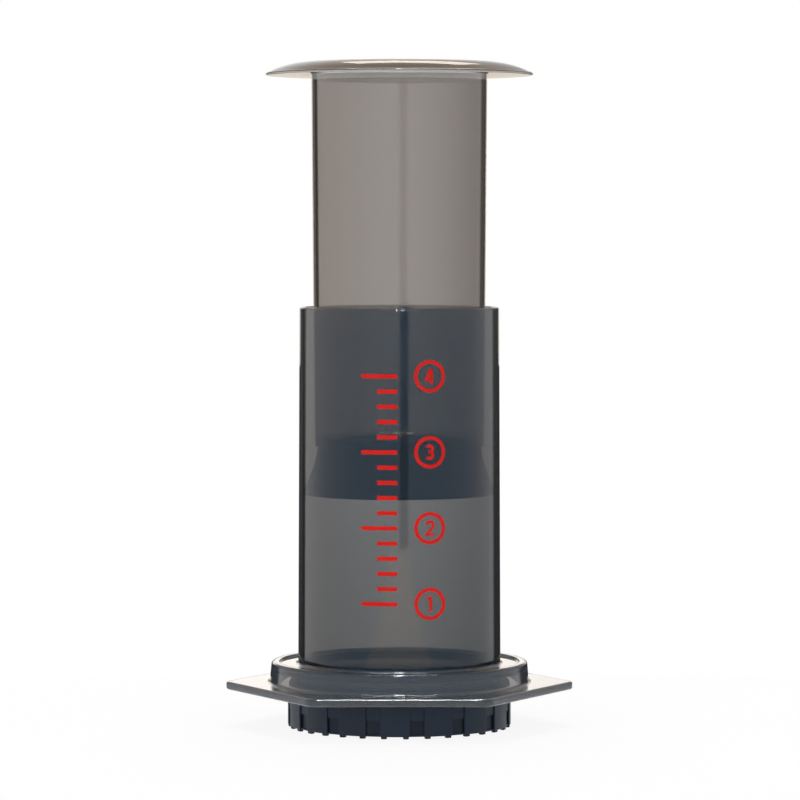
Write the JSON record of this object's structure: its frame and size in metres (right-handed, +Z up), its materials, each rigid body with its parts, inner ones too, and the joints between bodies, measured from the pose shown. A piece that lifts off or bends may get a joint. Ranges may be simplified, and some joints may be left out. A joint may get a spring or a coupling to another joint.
{
  "type": "air press coffee maker",
  "caption": "Hand press for coffee: clear smoke-grey chamber on a six-sided flange, domed plunger with a rubber seal, and a bayonet filter cap that pinches a paper disc.",
  "frame": {"origin": "on the common axis of chamber, plunger and cap, level with the underside of the cap's feet", "axes": "+Z up along the press stroke, +X to the right through two corners of the six-sided flange, -Y to the front, where the numbers are"},
  "size_m": [0.108, 0.0946, 0.2065],
  "materials": {
    "smoked_chamber": "clear smoke-grey moulding, polished",
    "smoked_plunger": "clear warm grey moulding, polished",
    "seal_rubber": "satin elastomer",
    "cap_plastic": "blue-black moulding, satin",
    "filter_paper": "plain fibre, uncoated"
  },
  "bodies": {
    "chamber": {"brew_chamber": "smoked_chamber"},
    "seal": {"plunger_seal": "seal_rubber"},
    "plunger": {"plunger": "smoked_plunger"},
    "cap": {"filter_cap": "cap_plastic", "paper_filter": "filter_paper"}
  },
  "joints": [
    {"name": "plunger_slide", "type": "slide", "parent": "chamber", "child": "seal", "axis": [0, 0, 1], "range_m": [-0.0692, 0.07]},
    {"name": "plunger_spin", "type": "hinge", "parent": "seal", "child": "plunger", "pos_m": [0, 0, 0.0875], "axis": [0, 0, 1], "continuous": true},
    {"name": "cap_twist", "type": "hinge", "parent": "chamber", "child": "cap", "pos_m": [0, 0, 0.0074], "axis": [0, 0, 1], "range_deg": [0, 45]}
  ]
}
